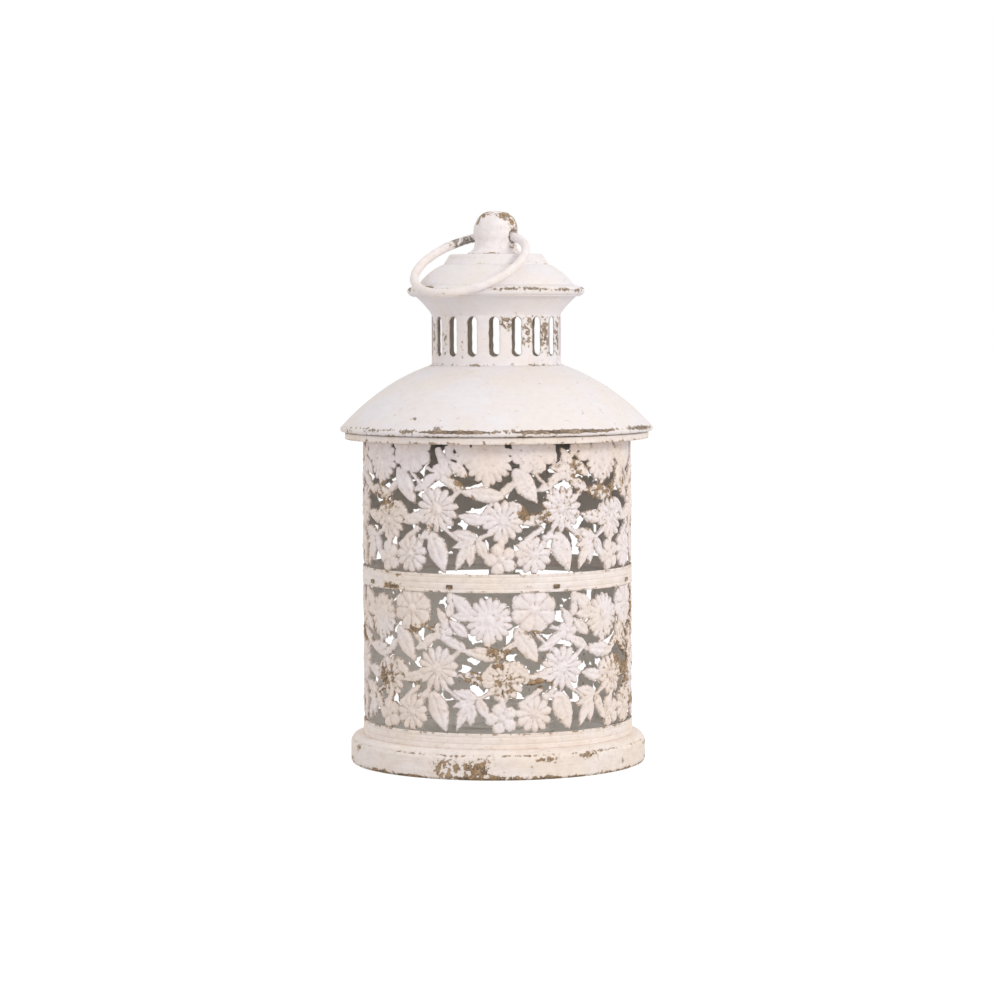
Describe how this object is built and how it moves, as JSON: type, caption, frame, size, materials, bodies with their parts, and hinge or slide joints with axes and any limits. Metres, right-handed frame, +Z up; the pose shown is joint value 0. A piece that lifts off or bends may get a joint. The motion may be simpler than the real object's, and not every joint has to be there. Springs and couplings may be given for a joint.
{
  "type": "candle lantern",
  "caption": "Round sheet-metal candle lantern with a floral fretwork wall, domed roof, slotted chimney, stepped cap, ball finial and a carrying ring; the housing lifts off its base.",
  "frame": {"origin": "centre of the round face that the lantern stands on", "axes": "+Z up along the lantern's axis; the pictured front faces -Y; +X is the viewer's right"},
  "size_m": [0.14, 0.14, 0.2454],
  "materials": {
    "distressed_paint": "matt chalky off-white paint on sheet steel, rust-worn at the edges",
    "inner_paint": "matt off-white paint, thinner and warmer, inside the base",
    "worn_steel": "bare steel, brown with rust"
  },
  "bodies": {
    "base": {"base_drum": "distressed_paint", "base_hem_wire": "worn_steel", "base_upstand": "inner_paint", "candle_cup": "inner_paint"},
    "housing": {"wall_collar": "distressed_paint", "lower_panel": "distressed_paint", "mid_band": "distressed_paint", "band_tabs": "worn_steel", "upper_panel": "distressed_paint", "top_hoop": "distressed_paint", "dome": "distressed_paint", "dome_lip_wire": "worn_steel", "chimney": "distressed_paint", "chimney_bead": "distressed_paint", "cap_cowl": "distressed_paint", "cap_crown": "distressed_paint", "cap_rim_wire": "worn_steel", "cap_plinth": "distressed_paint", "finial": "distressed_paint", "finial_screw": "worn_steel", "finial_washer": "worn_steel"},
    "ring": {"ring_handle": "distressed_paint"}
  },
  "joints": [
    {"name": "housing_lift", "type": "slide", "parent": "base", "child": "housing", "axis": [0, 0, 1], "range_m": [0, 0.12]},
    {"name": "ring_swing", "type": "hinge", "parent": "housing", "child": "ring", "pos_m": [0, 0, 0.2341], "axis": [-0.8387, 0.5446, 0], "range_deg": [0, 241]}
  ]
}
